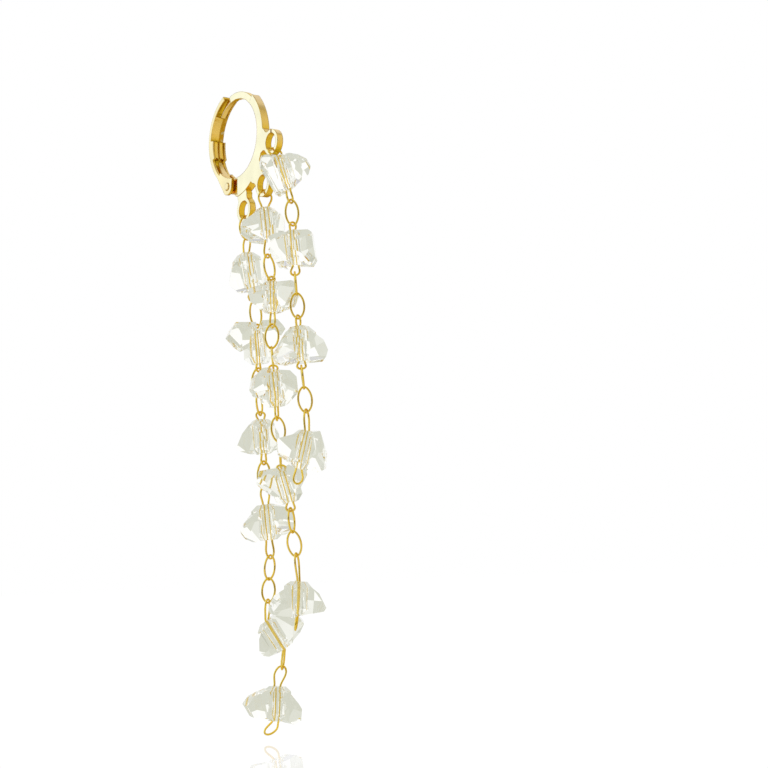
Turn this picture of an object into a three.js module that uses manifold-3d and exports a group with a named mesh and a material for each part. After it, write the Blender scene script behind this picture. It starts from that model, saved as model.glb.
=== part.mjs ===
// Hinged gold hoop earring with three strands of drilled crystals on wire links.
// Units are millimetres. The hoop lies in the XZ plane, its axis along Y. The origin is the
// top of the opening, where the ear post sits in the ear, and the strands hang along -Z.
import * as THREE from 'three';
import { mergeVertices } from 'three/addons/utils/BufferGeometryUtils.js';
import Module from 'manifold-3d';

const wasm = await Module();
wasm.setup();

// ---------------------------------------------------------------- driving dimensions

const OPENING_RADIUS = 4.9;
const CENTRE_Z = -OPENING_RADIUS;

const BODY = { width: 1.0, outerRadius: 6.83, outerX: -0.63, outerZ: -0.48, start: 48, end: 270 };

// The ear post's outer edge, from its root in the body to its tip: degrees and radius round the
// hoop's centre.
const POST = { width: 0.6, setBack: 0.05 };
const SEAM = { direction: 51, width: 0.08, depth: 0.05 };
const POST_EDGE = [
  [44, 5.8],
  [60, 5.75],
  [75, 5.73],
  [90, 5.72],
  [102, 5.7],
  [108, 5.5],
  [116, 5.27],
  [126, 5.1],
  [136, 5.0],
];

const PIVOT = { x: -1.7, z: -5.75 };
const PIN = { radius: 0.32, length: 1.7, clearance: 0.1 };
const KNUCKLE = { width: 0.8, radius: 0.85, bodyX: 0.3, drop: 1.15 };
const TONGUE = { width: 0.9, inner: 5.1, outer: 5.35, start: 202, end: 256, tipWidth: 0.3, fullZ: -4.0 };

const LEVER = { width: 1.8, outerRadius: 5.93, outerZ: 0.17, start: 110, end: 246, cheekRadius: 1.05 };
const CATCH = { end: 171, lipRadius: 5.5, ridgeStart: 137.5, ridgeRadius: 5.1, overlap: 0.5, steps: 96 };
const MOUTH = { width: 1.5, floorRadius: 5.78, end: 137.5 };
const GROOVE = { width: 0.85, clearance: 0.17, start: 98, end: 138 };
const POCKET = { width: 1.44, floorRadius: 5.07, sideWidth: 0.1, sideRadius: 5.17, sideEnd: 195 };
const SLOT = { width: 0.2, floorRadius: 5.3, end: 196 };
const CHANNEL = { width: 1.2, floorRadius: 5.68, end: 350, hingeRadius: 1.35 };
const WINDOW = { start: 198, end: 228, radius: 5.3 };
const CHEEK_PLATE = { outer: 202, inner: 240, corner: 264, below: 205, topStart: 226, topRadius: 4.94 };

const RING = { outerRadius: 1.55, holeRadius: 1.1, width: 0.8 };
const SLIT = { width: 0.2, direction: 82 };
const WEB = { waistWidth: 1.5, ramp: 0.5, bite: 1.15 };
const RINGS = [
  { strand: 'front', x: 7.92, z: -2.32, setBack: 0, rootRadius: 5.63, rootWidth: 3.4, neckWidth: 2.7 },
  { strand: 'middle', x: 5.83, z: -6.96, setBack: 0, rootRadius: 5.63, rootWidth: 3.4, neckWidth: 2.7 },
  { strand: 'back', x: 1.34, z: -9.21, setBack: 0.04, rootRadius: 6.9, rootWidth: 1.9, neckWidth: 2.2 },
];

const WIRE = 0.25;
const LINK_WIDTH = 1.85;
const LINK_POINT = 0.6;
const LOOP_ROUND_SHARE = 0.4;
const THREAD_SPACING = 0.72;
const LINK_GAP = 0.16;
const RING_GAP = 0.26;
const STRETCH_OVERLAP = 0.03;
const HOLE_RADIUS = 0.62;

// Sides and steps of the round shapes.
const ARC_STEPS = { hoop: 22, post: 3, tongue: 5, web: 6, eye: 9, cheek: 16, room: 12 };
const RING_STEPS = { outside: 18, hole: 14 };
const PIN_STEPS = { pin: 18, hole: 9 };
const WIRE_STEPS = { sides: 6, plainLink: 12, beadLink: 20, hole: 9 };

// Each strand from its ring down. A row with a crystal is a long bead link, and one without is
// a plain link. x, y, z is the joint at the row's lower end. turn is the direction, in degrees
// from +X, in which a link is wide, and width is the width of a link that is wider than the rest.
// A bead link may twist to turnEnd. top and tip are the outer widths of its two loops. The
// crystal's centre is cx, cy, cz. Its long axis lies in the direction face, in degrees from +X.
// Its hole leans by lean degrees along that axis and by out degrees away from the hoop. It
// reaches left and right of the hole, and sag raises its ends.
const STRANDS = {
  front: [
    { crystal: 1, x: 10.0, y: 0.8, z: -14.7, turn: 90, turnEnd: 110, top: 2.1, tip: 1.3,
      cx: 9.15, cy: 0.3, cz: -11.2, lean: 14, out: 12, face: 76,
      left: 2.6, right: 3.3, height: 4.0, depth: 3.4, sag: -0.1 },
    { x: 10.0, y: 1.0, z: -17.4, turn: 36 },
    { crystal: 2, x: 9.9, y: 1.1, z: -23.3, turn: 105, turnEnd: 66, top: 1.3, tip: 1.3,
      cx: 9.95, cy: 1.1, cz: -20.3, lean: 4, out: 0, face: 52,
      left: 2.8, right: 2.7, height: 4.1, depth: 3.8, sag: 0 },
    { x: 9.9, y: 1.3, z: -25.7, turn: 149 },
    { x: 9.9, y: 1.4, z: -28.4, turn: 59 },
    { crystal: 3, x: 9.8, y: 1.7, z: -34.3, turn: 122, turnEnd: 66, top: 1.3, tip: 1.3,
      cx: 9.85, cy: 1.6, cz: -31.6, lean: 4, out: 0, face: 66,
      left: 3.2, right: 3.2, height: 4.1, depth: 4.2, sag: -0.5 },
    { x: 9.8, y: 2.0, z: -36.7, turn: 149 },
    { x: 9.8, y: 2.2, z: -39.4, turn: 56 },
    { crystal: 4, x: 9.7, y: 0.8, z: -47.9, turn: 122, turnEnd: 65, top: 1.3, tip: 1.35,
      cx: 9.8, cy: 1.6, cz: -44.0, lean: -14, out: 0, face: 55,
      left: 3.0, right: 2.7, height: 4.5, depth: 4.0, sag: 0 },
  ],
  middle: [
    { crystal: 1, x: 6.0, y: -0.1, z: -20.6, turn: 94, turnEnd: 20, top: 2.0, tip: 1.3,
      cx: 5.9, cy: -0.1, cz: -16.8, lean: 4, out: 0, face: 63,
      left: 3.0, right: 2.2, height: 3.9, depth: 4.0, sag: -0.7 },
    { x: 6.1, y: 0.2, z: -23.3, turn: 98 },
    { crystal: 2, x: 6.1, y: 0.2, z: -29.0, turn: 20, turnEnd: 0, top: 1.3, tip: 1.3,
      cx: 6.1, cy: 0.3, cz: -25.6, lean: 0, out: 0, face: 48,
      left: 2.9, right: 3.0, height: 3.6, depth: 4.1, sag: 0.3 },
    { x: 6.1, y: 0.0, z: -31.6, turn: 70 },
    { x: 6.1, y: 0.2, z: -33.9, turn: 149 },
    { crystal: 3, x: 6.1, y: 0.5, z: -40.0, turn: 66, turnEnd: 136, top: 1.3, tip: 1.3,
      cx: 6.1, cy: 0.3, cz: -36.6, lean: 4, out: 0, face: 68,
      left: 2.7, right: 2.5, height: 4.0, depth: 3.8, sag: 0 },
    { x: 6.2, y: 0.7, z: -42.7, turn: 56 },
    { x: 6.2, y: 0.8, z: -45.7, turn: 145 },
    { crystal: 4, x: 6.3, y: 1.9, z: -50.7, turn: 58, turnEnd: 46, top: 1.3, tip: 1.3,
      cx: 6.25, cy: 1.4, cz: -48.1, lean: 14, out: 0, face: 54,
      left: 3.4, right: 2.5, height: 3.7, depth: 4.0, sag: 0.5 },
    { x: 6.3, y: 2.1, z: -53.3, turn: 122 },
    { x: 6.3, y: 2.5, z: -56.0, turn: 50 },
    { crystal: 5, x: 6.3, y: 2.1, z: -64.7, turn: 120, turnEnd: 140, top: 1.3, tip: 1.3,
      cx: 6.3, cy: 2.6, cz: -61.0, lean: -4, out: 0, face: 64,
      left: 3.1, right: 3.6, height: 3.8, depth: 4.2, sag: -0.9 },
  ],
  back: [
    { x: 1.5, y: -0.15, z: -17.6, turn: 90, width: 2.3 },
    { crystal: 1, x: 1.8, y: 0.4, z: -25.4, turn: 10, turnEnd: 100, top: 1.3, tip: 1.3,
      cx: 1.7, cy: -0.1, cz: -21.8, lean: 8, out: 0, face: 56,
      left: 2.4, right: 2.2, height: 4.5, depth: 3.8, sag: -0.3 },
    { x: 1.9, y: 0.7, z: -28.4, turn: 25 },
    { crystal: 2, x: 1.9, y: 0.7, z: -33.7, turn: 100, turnEnd: 119, top: 1.3, tip: 1.3,
      cx: 1.9, cy: 0.6, cz: -31.0, lean: 3, out: 0, face: 66,
      left: 3.3, right: 3.2, height: 4.0, depth: 4.0, sag: 0.6 },
    { x: 1.9, y: 0.6, z: -36.4, turn: 40 },
    { x: 1.9, y: 0.8, z: -39.0, turn: 124 },
    { crystal: 3, x: 1.9, y: 1.1, z: -44.9, turn: 50, turnEnd: 120, top: 1.3, tip: 1.3,
      cx: 1.9, cy: 1.0, cz: -41.8, lean: 3, out: 0, face: 50,
      left: 2.8, right: 2.2, height: 4.1, depth: 3.9, sag: -0.9 },
    { x: 1.9, y: 1.1, z: -47.9, turn: 40 },
    { crystal: 4, x: 1.9, y: 1.7, z: -56.1, turn: 110, turnEnd: 20, top: 1.6, tip: 1.3,
      cx: 1.9, cy: 1.4, cz: -52.0, lean: 4, out: 0, face: 62,
      left: 3.3, right: 3.3, height: 4.2, depth: 4.1, sag: -0.6 },
    { x: 1.9, y: 1.4, z: -58.7, turn: 100 },
    { x: 1.9, y: 1.2, z: -61.3, turn: 40 },
    { crystal: 5, x: 1.9, y: 2.9, z: -69.2, turn: 115, turnEnd: 135, top: 1.3, tip: 1.3,
      cx: 1.9, cy: 2.1, cz: -65.3, lean: 30, out: 0, face: 57,
      left: 2.3, right: 3.7, height: 3.9, depth: 3.9, sag: 0 },
    { crystal: 6, x: 1.9, y: 0.7, z: -76.8, turn: 50, turnEnd: 59, top: 1.6, tip: 1.6,
      cx: 1.9, cy: 2.0, cz: -73.3, lean: -4, out: 0, face: 68,
      left: 3.4, right: 3.4, height: 4.0, depth: 4.2, sag: -0.6 },
  ],
};

// A crystal's cross-section, as radii round its long axis, and its stations along that axis:
// at is the place from -1, the left end, to 1, and size scales the cross-section there.
const FACET_RADII = [1.0, 0.9, 1.06, 0.96, 1.03, 0.88, 1.0];
const FACET_TURN = 0.7;
const FACET_SHIFT = 2;
const STATIONS = [
  { at: -1, size: 0.32 },
  { at: -0.6, size: 0.92 },
  { at: -0.22, size: 0.86 },
  { at: 0.02, size: 1.0 },
  { at: 0.26, size: 0.88 },
  { at: 0.64, size: 0.96 },
  { at: 1, size: 0.3 },
];

// ---------------------------------------------------------------- finishes

const gold = () => new THREE.MeshStandardMaterial({ color: 0xe8b84a, roughness: 0.16, metalness: 1 });
const wireGold = () => new THREE.MeshStandardMaterial({ color: 0xd9a63a, roughness: 0.25, metalness: 1 });
const quartz = () => new THREE.MeshStandardMaterial({ color: 0xf2f2ec, roughness: 0.05, metalness: 0 });

// ---------------------------------------------------------------- solids

const radians = THREE.MathUtils.degToRad;

function solidOf(geometry) {
  const bare = geometry.clone();
  bare.deleteAttribute('normal');
  bare.deleteAttribute('uv');
  const merged = mergeVertices(bare, 1e-4);
  const mesh = new wasm.Mesh({
    numProp: 3,
    vertProperties: new Float32Array(merged.attributes.position.array),
    triVerts: new Uint32Array(merged.index.array),
  });
  return new wasm.Manifold(mesh);
}

function geometryOf(solid) {
  const mesh = solid.getMesh();
  const geometry = new THREE.BufferGeometry();
  geometry.setAttribute('position', new THREE.BufferAttribute(mesh.vertProperties, 3));
  geometry.setIndex(new THREE.BufferAttribute(mesh.triVerts, 1));
  return geometry;
}

function joined(solids) {
  return solids.reduce((whole, next) => whole.add(next));
}

function cut(solid, tools) {
  return tools.reduce((rest, tool) => rest.subtract(tool), solid);
}

function nodeMesh(name, geometry, material) {
  const mesh = new THREE.Mesh(geometry, material);
  mesh.name = name;
  return mesh;
}

// A flat outline in the hoop's plane, drawn round the hoop's centre, as a slab along Y.
function slab(shape, width, curveSegments, middleY = 0) {
  const geometry = new THREE.ExtrudeGeometry(shape, { depth: width, bevelEnabled: false, curveSegments });
  geometry.rotateX(Math.PI / 2);
  geometry.translate(0, middleY + width / 2, CENTRE_Z);
  return solidOf(geometry);
}

function disc(x, z, radius, width, segments, middleY = 0) {
  const shape = new THREE.Shape();
  shape.absarc(x, z, radius, 0, 2 * Math.PI, false);
  return slab(shape, width, segments, middleY);
}

// The angle, round an outer circle's own centre, of the point that lies on that circle in the
// given direction from the hoop's centre.
function outerAngle(circle, degrees) {
  const dx = Math.cos(radians(degrees));
  const dz = Math.sin(radians(degrees));
  const along = circle.x * dx + circle.z * dz;
  const reach = along + Math.sqrt(along ** 2 + circle.radius ** 2 - circle.x ** 2 - circle.z ** 2);
  return Math.atan2(reach * dz - circle.z, reach * dx - circle.x);
}

// A curved band between an inner circle about the hoop's centre and an outer circle.
function band(inner, outer, start, end) {
  const shape = new THREE.Shape();
  const from = outerAngle(outer, start);
  let to = outerAngle(outer, end);
  while (to < from) to += 2 * Math.PI;
  shape.absarc(outer.x, outer.z, outer.radius, from, to, false);
  shape.absarc(0, 0, inner, radians(end), radians(start), true);
  return shape;
}

function circle(radius, x = 0, z = 0) {
  return { radius, x, z };
}

// ---------------------------------------------------------------- hoop

function hoopBody() {
  const outer = circle(BODY.outerRadius, BODY.outerX, BODY.outerZ);
  return slab(band(OPENING_RADIUS, outer, BODY.end - 360, BODY.start), BODY.width, ARC_STEPS.hoop);
}

// A point in the hoop's plane, by its direction and its distance from the hoop's centre.
function polar([degrees, radius]) {
  return new THREE.Vector2(radius * Math.cos(radians(degrees)), radius * Math.sin(radians(degrees)));
}

// The post lies a little behind the hoop's face on the -Y side, and narrows to its tip.
function earPost() {
  const [start] = POST_EDGE[0];
  const [end] = POST_EDGE[POST_EDGE.length - 1];
  const shape = new THREE.Shape();
  shape.moveTo(...polar(POST_EDGE[0]));
  shape.splineThru(POST_EDGE.slice(1).map(polar));
  shape.absarc(0, 0, OPENING_RADIUS, radians(end), radians(start), true);
  return slab(shape, POST.width, ARC_STEPS.post, postMiddleY());
}

// The seam where the post is joined to the body shows as a fine groove across the hoop's face.
function postSeam() {
  const length = 2 * (BODY.outerRadius - OPENING_RADIUS);
  const geometry = new THREE.BoxGeometry(length, 2 * SEAM.depth, SEAM.width);
  geometry.translate(OPENING_RADIUS, -BODY.width / 2, 0);
  geometry.rotateY(-radians(SEAM.direction));
  geometry.translate(0, 0, CENTRE_Z);
  return solidOf(geometry);
}

function postMiddleY() {
  return POST.setBack + (POST.width - BODY.width) / 2;
}

// The knuckle is an eye round the pin, joined to the end of the body, with a thin tongue that
// lies in the lever's channel.
function knuckle() {
  const eye = disc(PIVOT.x, PIVOT.z, KNUCKLE.radius, KNUCKLE.width, ARC_STEPS.eye);
  const bar = new THREE.Shape();
  bar.moveTo(PIVOT.x, PIVOT.z - KNUCKLE.radius);
  bar.lineTo(KNUCKLE.bodyX, PIVOT.z - KNUCKLE.drop);
  bar.absarc(0, 0, OPENING_RADIUS, innerAngle(KNUCKLE.bodyX), innerAngle(PIVOT.x), true);
  bar.closePath();
  const tongue = band(TONGUE.inner, circle(TONGUE.outer), TONGUE.start, TONGUE.end);
  const leaf = slab(tongue, TONGUE.width, ARC_STEPS.tongue).intersect(tonguePlan());
  return joined([eye, slab(bar, KNUCKLE.width, ARC_STEPS.eye), leaf]);
}

// The angle of the point on the lower half of the hoop's inner circle that lies at x.
function innerAngle(x) {
  return 2 * Math.PI - Math.acos(x / OPENING_RADIUS);
}

// The tongue's outline seen along X: narrow at its tip, and widening downwards to its full width.
function tonguePlan() {
  const tip = OPENING_RADIUS * Math.sin(radians(TONGUE.start)) + TONGUE.tipWidth;
  const shape = new THREE.Shape();
  shape.moveTo(-TONGUE.tipWidth / 2, tip);
  shape.lineTo(-TONGUE.width / 2, TONGUE.fullZ);
  shape.lineTo(-TONGUE.width / 2, -2 * OPENING_RADIUS);
  shape.lineTo(TONGUE.width / 2, -2 * OPENING_RADIUS);
  shape.lineTo(TONGUE.width / 2, TONGUE.fullZ);
  shape.lineTo(TONGUE.tipWidth / 2, tip);
  shape.closePath();
  const plan = new THREE.ExtrudeGeometry(shape, { depth: 2 * OPENING_RADIUS, bevelEnabled: false });
  plan.rotateX(Math.PI / 2);
  plan.rotateZ(Math.PI / 2);
  plan.translate(-2 * OPENING_RADIUS, 0, CENTRE_Z);
  return solidOf(plan);
}

// The rings lie flush with the hoop's face on the -Y side, or set back a little from it.
function ringMiddleY(ring) {
  return ring.setBack + (RING.width - BODY.width) / 2;
}

// A flared web from the body out to a ring, drawn along the ring's own direction.
function web(ring) {
  const distance = Math.hypot(ring.x, ring.z);
  const direction = Math.atan2(ring.z, ring.x);
  const point = (along, side) => {
    const x = along * Math.cos(direction) - side * Math.sin(direction);
    const z = along * Math.sin(direction) + side * Math.cos(direction);
    return [x, z];
  };
  const neck = distance - RING.outerRadius - WEB.ramp / 2;
  const waist = neck + WEB.ramp;
  const tip = distance - RING.outerRadius + WEB.bite;
  const shape = new THREE.Shape();
  shape.moveTo(...point(ring.rootRadius, -ring.rootWidth / 2));
  shape.lineTo(...point(neck, -ring.neckWidth / 2));
  shape.quadraticCurveTo(...point(waist, -WEB.waistWidth / 2), ...point(tip, -RING.outerRadius));
  shape.lineTo(...point(tip, RING.outerRadius));
  shape.quadraticCurveTo(...point(waist, WEB.waistWidth / 2), ...point(neck, ring.neckWidth / 2));
  shape.lineTo(...point(ring.rootRadius, ring.rootWidth / 2));
  shape.closePath();
  return slab(shape, RING.width, ARC_STEPS.web, ringMiddleY(ring));
}

function ringDisc(ring) {
  return disc(ring.x, ring.z, RING.outerRadius, RING.width, RING_STEPS.outside, ringMiddleY(ring));
}

function ringHole(ring) {
  return disc(ring.x, ring.z, RING.holeRadius, 2 * BODY.width, RING_STEPS.hole);
}

// The front ring is bent round from its web, so a fine slit is left at its top.
function ringSlit() {
  const [ring] = RINGS;
  const length = RING.outerRadius - RING.holeRadius;
  const reach = RING.holeRadius + length / 2;
  const geometry = new THREE.BoxGeometry(2 * length, 2 * BODY.width, SLIT.width);
  geometry.translate(reach, 0, 0);
  geometry.rotateY(-radians(SLIT.direction));
  geometry.translate(ring.x, 0, ring.z + CENTRE_Z);
  return solidOf(geometry);
}

function pinHole(width) {
  return disc(PIVOT.x, PIVOT.z, PIN.radius + PIN.clearance, width, PIN_STEPS.hole);
}

function hoopFrame() {
  const metal = [hoopBody(), earPost(), knuckle(), ...RINGS.map(web), ...RINGS.map(ringDisc)];
  const holes = [...RINGS.map(ringHole), ringSlit(), postSeam(), pinHole(2 * BODY.width)];
  return nodeMesh('hoop_frame', geometryOf(cut(joined(metal), holes)), gold());
}

// ---------------------------------------------------------------- lever and pin

// The part of the plane between two directions, out to a radius, as a cutting tool.
function sector(start, end, radius, width) {
  const shape = new THREE.Shape();
  shape.moveTo(0, 0);
  shape.lineTo(radius * Math.cos(radians(start)), radius * Math.sin(radians(start)));
  shape.absarc(0, 0, radius, radians(start), radians(end), false);
  shape.closePath();
  return slab(shape, width, ARC_STEPS.room);
}

// The plate that widens the lever's lower end into its cheeks: it runs straight from the lever's
// outer edge to the cheek disc, and fills the cheek's upper corner by the opening.
function cheekPlate() {
  const outer = circle(LEVER.outerRadius, 0, LEVER.outerZ);
  const edge = outerAngle(outer, CHEEK_PLATE.outer);
  const inner = radians(CHEEK_PLATE.inner);
  const corner = radians(CHEEK_PLATE.corner);
  const below = radians(CHEEK_PLATE.below);
  const shape = new THREE.Shape();
  shape.moveTo(outer.radius * Math.cos(edge), outer.radius * Math.sin(edge) + outer.z);
  const reach = LEVER.cheekRadius;
  shape.lineTo(PIVOT.x + reach * Math.cos(below), PIVOT.z + reach * Math.sin(below));
  shape.lineTo(PIVOT.x, PIVOT.z);
  shape.lineTo(PIVOT.x + reach, PIVOT.z);
  shape.absarc(0, 0, OPENING_RADIUS, corner, inner, true);
  shape.closePath();
  return slab(shape, LEVER.width, ARC_STEPS.cheek);
}

function leverBlank() {
  const outer = circle(LEVER.outerRadius, 0, LEVER.outerZ);
  const thin = band(CATCH.lipRadius, outer, LEVER.start, CATCH.end + CATCH.overlap);
  const full = band(OPENING_RADIUS, outer, CATCH.end, LEVER.end);
  const cheek = disc(PIVOT.x, PIVOT.z, LEVER.cheekRadius, LEVER.width, ARC_STEPS.cheek);
  const arcs = [thin, full].map((shape) => slab(shape, LEVER.width, ARC_STEPS.hoop));
  return joined([...arcs, cheekPlate(), cheek]);
}

// Two sloped faces that meet in a ridge along the middle of the lever's upper part. Closed, the
// post lies in a groove that runs into the ridge.
function catchRidge() {
  const half = LEVER.width / 2;
  const seat = (CATCH.lipRadius + LEVER.outerRadius) / 2;
  const outline = [[seat, -half], [seat, half], [CATCH.lipRadius, half], [CATCH.ridgeRadius, 0]];
  outline.push([CATCH.lipRadius, -half], outline[0]);
  const points = outline.map(([radius, y]) => new THREE.Vector2(radius, y));
  const ring = new THREE.LatheGeometry(points, CATCH.steps);
  ring.translate(0, 0, CENTRE_Z);
  const length = sector(CATCH.ridgeStart, CATCH.end + CATCH.overlap, LEVER.outerRadius, 2 * LEVER.width);
  return solidOf(ring).intersect(length);
}

function postGroove() {
  const edge = POST_EDGE.filter(([degrees]) => degrees > GROOVE.start);
  const floor = [...edge, [GROOVE.end, OPENING_RADIUS]];
  const shape = new THREE.Shape();
  shape.moveTo(0, 0);
  shape.lineTo(...polar([GROOVE.start, edge[0][1] + GROOVE.clearance]));
  floor.forEach(([degrees, radius]) => shape.lineTo(...polar([degrees, radius + GROOVE.clearance])));
  shape.closePath();
  return slab(shape, GROOVE.width, ARC_STEPS.room, postMiddleY());
}

function lever() {
  const channel = CHANNEL.floorRadius;
  const mouth = sector(GROOVE.start, MOUTH.end, MOUTH.floorRadius, MOUTH.width);
  const pocket = sector(CATCH.end, SLOT.end, POCKET.floorRadius, POCKET.width);
  const strips = sector(CATCH.ridgeStart, SLOT.end, LEVER.outerRadius, POCKET.width - 2 * POCKET.sideWidth);
  const pocketSides = sector(CATCH.end, POCKET.sideEnd, POCKET.sideRadius, POCKET.width).subtract(strips);
  const slot = sector(CATCH.end, SLOT.end, SLOT.floorRadius, SLOT.width);
  const lowChannel = sector(SLOT.end, CHANNEL.end, channel, CHANNEL.width);
  const hingeRoom = disc(PIVOT.x, PIVOT.z, CHANNEL.hingeRadius, CHANNEL.width, ARC_STEPS.room);
  const window = sector(WINDOW.start, WINDOW.end, WINDOW.radius, 2 * LEVER.width);
  const cheekTops = sector(CHEEK_PLATE.topStart, CHANNEL.end, CHEEK_PLATE.topRadius, 2 * LEVER.width);
  const seats = [mouth, postGroove(), pocket, pocketSides, slot, lowChannel];
  const hinge = [hingeRoom, window, cheekTops, pinHole(2 * LEVER.width)];
  const metal = joined([leverBlank(), catchRidge()]);
  return nodeMesh('hoop_lever', geometryOf(cut(metal, [...seats, ...hinge])), gold());
}

function hingePin() {
  const geometry = new THREE.CylinderGeometry(PIN.radius, PIN.radius, PIN.length, PIN_STEPS.pin);
  geometry.translate(PIVOT.x, 0, PIVOT.z + CENTRE_Z);
  return nodeMesh('hinge_pin', geometry, gold());
}

// ---------------------------------------------------------------- links

// A closed wire loop along a centre line. Both wires run side by side, halfWidth apart from the
// centre line, and meet in a round end at the top and at the bottom.
class WireLoop extends THREE.Curve {
  constructor(centreLine, halfWidth, turnAt) {
    super();
    this.centreLine = centreLine;
    this.halfWidth = halfWidth;
    this.turnAt = turnAt;
  }

  getPoint(t) {
    const along = (1 - Math.cos(2 * Math.PI * t)) / 2;
    const side = Math.sign(Math.sin(2 * Math.PI * t));
    const turn = radians(this.turnAt(along));
    const offset = side * this.halfWidth(along);
    const across = new THREE.Vector3(Math.cos(turn), Math.sin(turn), 0);
    return this.centreLine(along).addScaledVector(across, offset);
  }

  getPointAt(u) {
    return this.getPoint(u);
  }

  getTangentAt(u) {
    return this.getTangent(u);
  }
}

function wireSolid(path, steps) {
  return solidOf(new THREE.TubeGeometry(path, steps, WIRE / 2, WIRE_STEPS.sides, true));
}

function plainLink(top, bottom, row) {
  const centreLine = (along) => top.clone().lerp(bottom, along);
  const width = row.width ?? LINK_WIDTH;
  const halfWidth = (along) => {
    const fromMiddle = Math.abs(1 - 2 * along);
    return ((width - WIRE) / 2) * (1 - fromMiddle ** 2) ** LINK_POINT;
  };
  return wireSolid(new WireLoop(centreLine, halfWidth, () => row.turn), WIRE_STEPS.plainLink);
}

// The half width of a bead link: a loop of the given outer width at each end, and two close
// wires between the mouths of the hole.
function beadHalfWidth(row, topMouth, tipMouth) {
  const narrow = THREAD_SPACING / 2;
  const loop = (share, outer) => {
    const full = (outer - WIRE) / 2;
    const round = Math.sqrt(1 - (1 - Math.min(1, share / LOOP_ROUND_SHARE)) ** 2);
    const blend = THREE.MathUtils.smoothstep(share, LOOP_ROUND_SHARE, 1);
    return full * round * (1 - blend) + narrow * blend;
  };
  return (along) => {
    if (along < topMouth) return loop(along / topMouth, row.top);
    if (along > tipMouth) return loop((1 - along) / (1 - tipMouth), row.tip);
    return narrow;
  };
}

function beadLink(top, bottom, row) {
  const { mouthTop, mouthTip } = crystalMouths(row);
  const lengths = [top.distanceTo(mouthTop), mouthTop.distanceTo(mouthTip), mouthTip.distanceTo(bottom)];
  const total = lengths[0] + lengths[1] + lengths[2];
  const topMouth = lengths[0] / total;
  const tipMouth = 1 - lengths[2] / total;
  const centreLine = (along) => {
    if (along < topMouth) return top.clone().lerp(mouthTop, along / topMouth);
    if (along > tipMouth) return mouthTip.clone().lerp(bottom, (along - tipMouth) / (1 - tipMouth));
    return mouthTop.clone().lerp(mouthTip, (along - topMouth) / (tipMouth - topMouth));
  };
  const turnAt = (along) => row.turn + (row.turnEnd - row.turn) * along;
  const halfWidth = beadHalfWidth(row, topMouth, tipMouth);
  return wireSolid(new WireLoop(centreLine, halfWidth, turnAt), WIRE_STEPS.beadLink);
}

// ---------------------------------------------------------------- crystals

// The axes of a crystal: its long axis, its hole, which leans, and its thickness.
function crystalFrame(row) {
  const across = new THREE.Vector3(Math.cos(radians(row.face)), Math.sin(radians(row.face)), 0);
  const outward = new THREE.Vector3(across.y, -across.x, 0);
  const up = new THREE.Vector3(0, 0, 1);
  const long = across.clone().applyAxisAngle(outward, radians(row.lean));
  const hole = up.clone().applyAxisAngle(outward, radians(row.lean));
  hole.applyAxisAngle(long, -radians(row.out));
  const thick = new THREE.Vector3().crossVectors(hole, long);
  return { long, hole, thick, centre: new THREE.Vector3(row.cx, row.cy, row.cz) };
}

function crystalMouths(row) {
  const { hole, centre } = crystalFrame(row);
  const reach = row.height / 2;
  return {
    mouthTop: centre.clone().addScaledVector(hole, reach),
    mouthTip: centre.clone().addScaledVector(hole, -reach),
  };
}

// A double-ended crystal: cross-sections of one shape at the stations, so every facet is flat.
function crystalGeometry(row, number) {
  const sides = FACET_RADII.length;
  const profile = [new THREE.Vector2(0, STATIONS[0].at)];
  STATIONS.forEach((station) => profile.push(new THREE.Vector2(station.size, station.at)));
  profile.push(new THREE.Vector2(0, STATIONS[STATIONS.length - 1].at));
  const geometry = new THREE.LatheGeometry(profile, sides, number * FACET_TURN, 2 * Math.PI);
  const position = geometry.attributes.position;
  const { long, hole, thick, centre } = crystalFrame(row);
  for (let i = 0; i < position.count; i += 1) {
    const at = position.getY(i);
    const side = Math.floor(i / profile.length) % sides;
    const radius = FACET_RADII[(side + number * FACET_SHIFT) % sides];
    const reach = at < 0 ? row.left : row.right;
    const point = centre.clone();
    point.addScaledVector(long, at * reach);
    point.addScaledVector(hole, (position.getX(i) * radius * row.height) / 2 + Math.abs(at) * row.sag);
    point.addScaledVector(thick, (position.getZ(i) * radius * row.depth) / 2);
    position.setXYZ(i, point.x, point.y, point.z);
  }
  return geometry;
}

function crystalHole(row) {
  const { hole, centre } = crystalFrame(row);
  const length = 2 * row.height;
  const geometry = new THREE.CylinderGeometry(HOLE_RADIUS, HOLE_RADIUS, length, WIRE_STEPS.hole);
  geometry.applyQuaternion(new THREE.Quaternion().setFromUnitVectors(new THREE.Vector3(0, 1, 0), hole));
  geometry.translate(centre.x, centre.y, centre.z);
  return solidOf(geometry);
}

function crystal(row, number) {
  return solidOf(crystalGeometry(row, number)).subtract(crystalHole(row));
}

// ---------------------------------------------------------------- strands

// How far a link's wire reaches past the joint, so that it hooks over the wire of its neighbour:
// plain neighbours touch, since they are one solid, and others keep a gap.
function reachPast(row, neighbour) {
  if (!neighbour) return 0;
  if (row.crystal || neighbour.crystal) return (WIRE + LINK_GAP) / 2;
  return (WIRE - STRETCH_OVERLAP) / 2;
}

// Each row with the ends of its link.
function linkEnds(rows, ring) {
  const lowestWire = ring.z + CENTRE_Z - RING.holeRadius + WIRE / 2 + RING_GAP;
  let joint = new THREE.Vector3(ring.x, ringMiddleY(ring), lowestWire);
  return rows.map((row, index) => {
    const top = joint.clone();
    top.z += reachPast(row, rows[index - 1]);
    joint = new THREE.Vector3(row.x, row.y, row.z);
    const bottom = joint.clone();
    bottom.z -= reachPast(row, rows[index + 1]);
    return { row, top, bottom };
  });
}

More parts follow.
